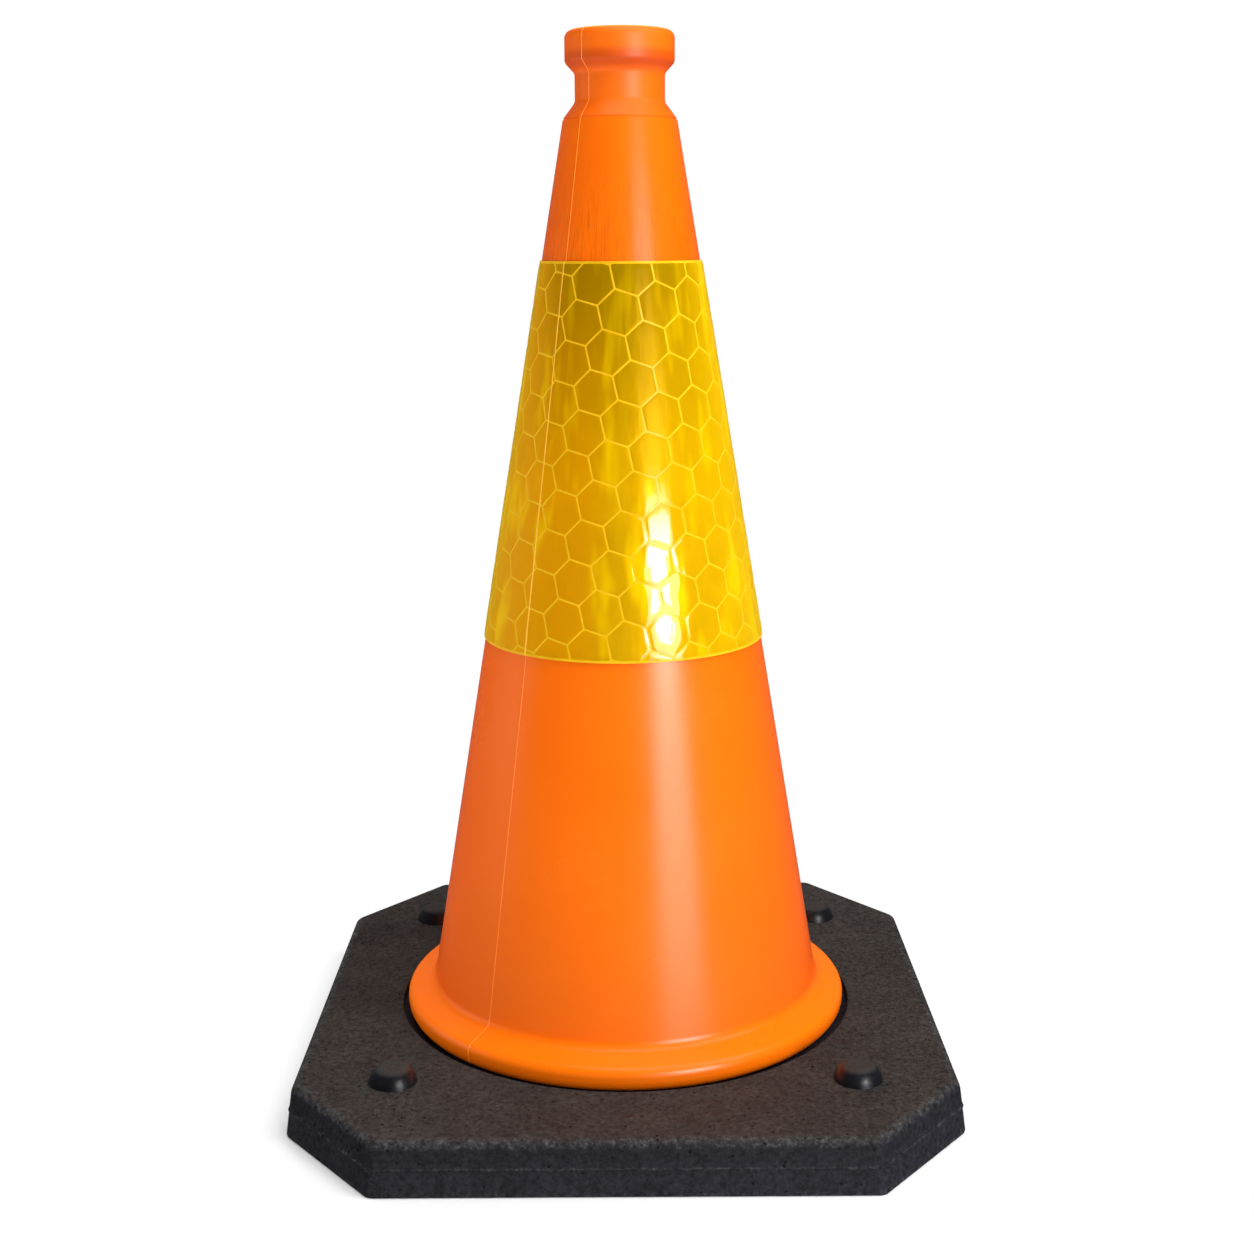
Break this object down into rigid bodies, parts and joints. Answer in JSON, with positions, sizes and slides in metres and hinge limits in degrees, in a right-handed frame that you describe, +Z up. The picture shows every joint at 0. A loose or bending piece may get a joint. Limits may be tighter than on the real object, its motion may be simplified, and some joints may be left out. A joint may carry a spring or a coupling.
{
  "type": "traffic cone",
  "caption": "Tall hollow road cone with a reflective sleeve, standing in the round seat of a heavy rubber base with cut corners and stacking studs.",
  "frame": {"origin": "on the ground, under the middle of the base", "axes": "+Z up along the cone's axis, -Y towards the front of the base, +X to the right seen from the front"},
  "size_m": [0.474, 0.495, 0.752],
  "materials": {
    "base_rubber": "matte recycled rubber with fine pits and scuffed edges",
    "stud_rubber": "smooth black rubber, slightly glossy",
    "cone_polyethylene": "satin orange polyethylene",
    "backing_film": "plain film",
    "face_film": "glossy yellow prismatic film with a honeycomb of seal lines"
  },
  "bodies": {
    "base": {"rubber_base": "base_rubber", "stud_front_left": "stud_rubber", "stud_front_right": "stud_rubber", "stud_rear_left": "stud_rubber", "stud_rear_right": "stud_rubber"},
    "cone": {"cone_body": "cone_polyethylene"},
    "sleeve": {"sleeve_backing": "backing_film", "sleeve_face": "face_film"}
  },
  "joints": [
    {"name": "cone_lift", "type": "slide", "parent": "base", "child": "cone", "axis": [0, 0, 1], "range_m": [0, 0.12]},
    {"name": "sleeve_lift", "type": "slide", "parent": "cone", "child": "sleeve", "axis": [0, 0, 1], "range_m": [0, 0.45]}
  ]
}
